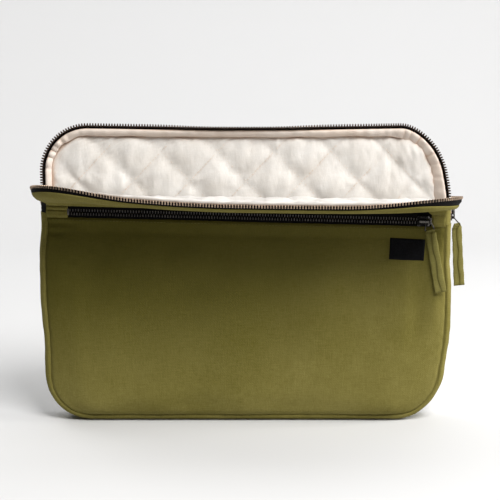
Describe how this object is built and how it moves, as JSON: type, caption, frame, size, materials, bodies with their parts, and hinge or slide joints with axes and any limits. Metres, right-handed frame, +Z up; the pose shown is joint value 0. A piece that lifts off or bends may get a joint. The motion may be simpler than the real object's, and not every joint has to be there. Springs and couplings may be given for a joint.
{
  "type": "laptop sleeve",
  "caption": "Padded canvas laptop sleeve standing open, with a fold-down zipped mouth, quilted lining, a zipped outside pocket and canvas zip pulls.",
  "frame": {"origin": "middle of the flat base that the sleeve stands on", "axes": "+X to the right seen from the front, +Y from the pocket side to the back, +Z up"},
  "size_m": [0.408, 0.1065, 0.286],
  "materials": {
    "canvas": "olive green cotton canvas",
    "pull_canvas": "folded olive green canvas",
    "foam": "soft foam sheet",
    "quilted_lining": "quilted cream cotton",
    "binding": "cream cotton binding",
    "pocket_cloth": "thin cotton",
    "zip_tape": "black woven tape",
    "zip_teeth": "antiqued dark metal",
    "slider_metal": "gunmetal",
    "label": "black woven label"
  },
  "bodies": {
    "case": {"back_panel": "canvas", "back_padding": "foam", "back_lining": "quilted_lining", "front_panel": "canvas", "front_upper_strip": "canvas", "pocket_lining": "pocket_cloth", "front_padding": "foam", "front_lining": "quilted_lining", "gusset": "canvas", "gusset_lining": "quilted_lining", "main_zip_tape_rear": "zip_tape", "main_zip_teeth_rear": "zip_teeth", "rear_binding": "binding", "main_zip_tape_front_ends": "zip_tape", "main_zip_teeth_front_ends": "zip_teeth", "main_zip_bottom_stop": "zip_teeth", "main_zip_top_stops": "zip_teeth", "pocket_zip_tape_upper": "zip_tape", "pocket_zip_tape_lower": "zip_tape", "pocket_zip_teeth_upper": "zip_teeth", "pocket_zip_teeth_lower": "zip_teeth", "pocket_zip_bottom_stop": "zip_teeth", "pocket_zip_top_stops": "zip_teeth", "pocket_zip_end_tab_left": "canvas", "pocket_zip_end_tab_right": "canvas", "woven_label": "label"},
    "flap": {"flap_panel": "canvas", "flap_padding": "foam", "flap_lining": "quilted_lining", "flap_binding": "binding", "main_zip_tape_front": "zip_tape", "main_zip_teeth_front": "zip_teeth"},
    "pocket_slider": {"pocket_slider": "slider_metal"},
    "pocket_ring": {"pocket_pull_ring": "slider_metal"},
    "pocket_tab": {"pocket_pull_tab": "pull_canvas"},
    "main_slider": {"main_slider": "slider_metal"},
    "main_ring": {"main_pull_ring": "slider_metal"},
    "main_tab": {"main_pull_tab": "pull_canvas"}
  },
  "joints": [
    {"name": "flap_fold", "type": "hinge", "parent": "case", "child": "flap", "pos_m": [0, -0.0154, 0.211], "axis": [0.9999, 0, -0.0122], "range_deg": [-84, 14]},
    {"name": "pocket_zip_slide", "type": "slide", "parent": "case", "child": "pocket_slider", "axis": [-0.9997, 0, 0.0262], "range_m": [0, 0.328]},
    {"name": "pocket_ring_swing", "type": "hinge", "parent": "pocket_slider", "child": "pocket_ring", "pos_m": [0.17194, -0.01808, 0.197], "axis": [0, -1, 0], "range_deg": [-38, 24.5]},
    {"name": "pocket_tab_lift", "type": "hinge", "parent": "pocket_ring", "child": "pocket_tab", "pos_m": [0.17349, -0.01808, 0.18864], "axis": [-0.9833, 0, -0.1822], "range_deg": [0, 65]},
    {"name": "main_zip_slide", "type": "slide", "parent": "case", "child": "main_slider", "axis": [0, 0, 1], "range_m": [0, 0.035]},
    {"name": "main_ring_lift", "type": "hinge", "parent": "main_slider", "child": "main_ring", "pos_m": [0.19737, 0, 0.19935], "axis": [0, -1, 0], "range_deg": [0, 90]},
    {"name": "main_tab_lift", "type": "hinge", "parent": "main_ring", "child": "main_tab", "pos_m": [0.20423, 0, 0.19173], "axis": [0, -1, 0], "range_deg": [0, 75]}
  ]
}
